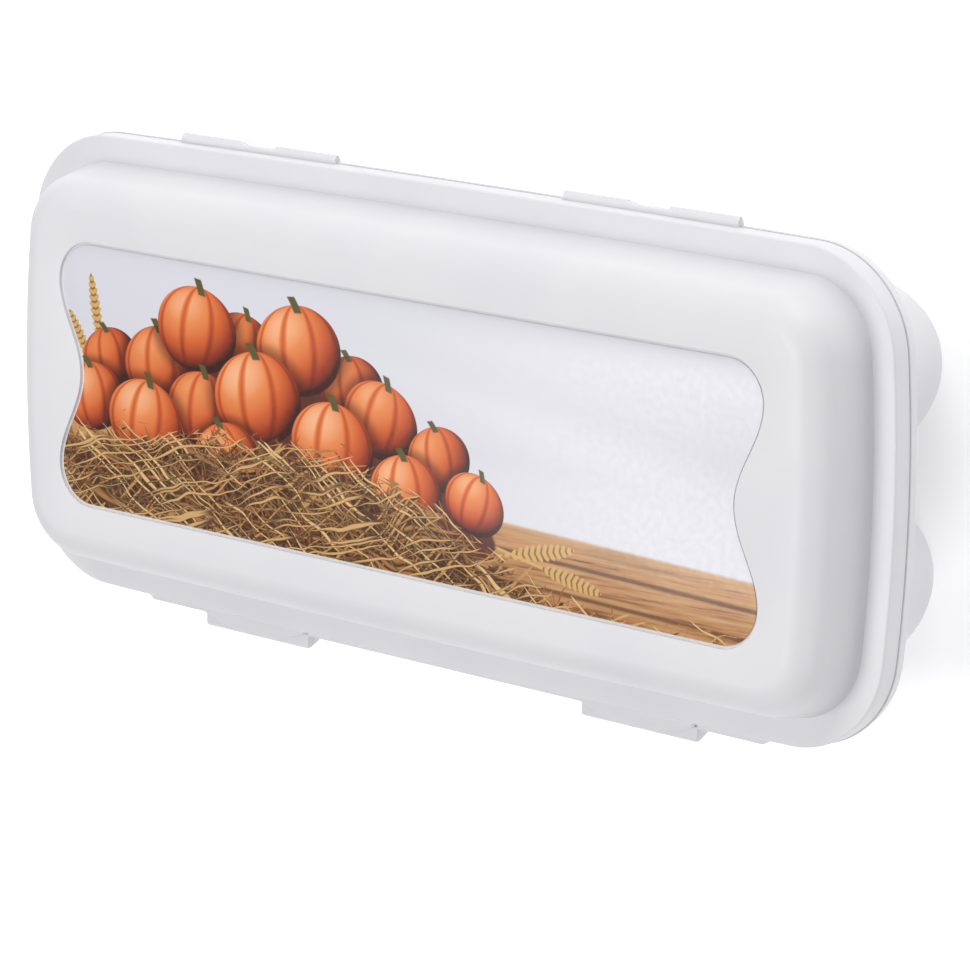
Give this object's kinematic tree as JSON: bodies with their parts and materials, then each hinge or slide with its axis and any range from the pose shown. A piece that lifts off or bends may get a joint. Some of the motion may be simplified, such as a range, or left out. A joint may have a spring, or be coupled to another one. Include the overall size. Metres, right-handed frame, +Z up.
{
  "type": "egg storage container",
  "caption": "Long plastic egg keeper: tray of rounded cups, domed lid with a recessed label panel, folding hinges and thumb-lip latches.",
  "frame": {"origin": "centre of the bounding box, on the surface that the cups stand on", "axes": "+X along the container's length, +Y towards the hinges, +Z up through the lid"},
  "size_m": [0.2666, 0.1238, 0.0666],
  "materials": {
    "tray_plastic": "satin white",
    "lid_plastic": "satin white",
    "label_film": "thin printed film, pale lavender ground"
  },
  "bodies": {
    "tray": {"tray_rim": "tray_plastic", "egg_cup_01": "tray_plastic", "egg_cup_02": "tray_plastic", "egg_cup_03": "tray_plastic", "egg_cup_04": "tray_plastic", "egg_cup_05": "tray_plastic", "egg_cup_06": "tray_plastic", "egg_cup_07": "tray_plastic", "egg_cup_08": "tray_plastic", "egg_cup_09": "tray_plastic", "egg_cup_10": "tray_plastic", "tray_hinge_leaf_left": "tray_plastic", "tray_hinge_leaf_right": "tray_plastic"},
    "lid": {"lid": "lid_plastic", "label": "label_film", "lid_hinge_leaf_left": "lid_plastic", "lid_hinge_leaf_right": "lid_plastic"}
  },
  "joints": [
    {"name": "lid_hinge", "type": "hinge", "parent": "tray", "child": "lid", "pos_m": [0, 0.062, 0.04595], "axis": [-1, 0, 0], "range_deg": [0, 180]}
  ]
}
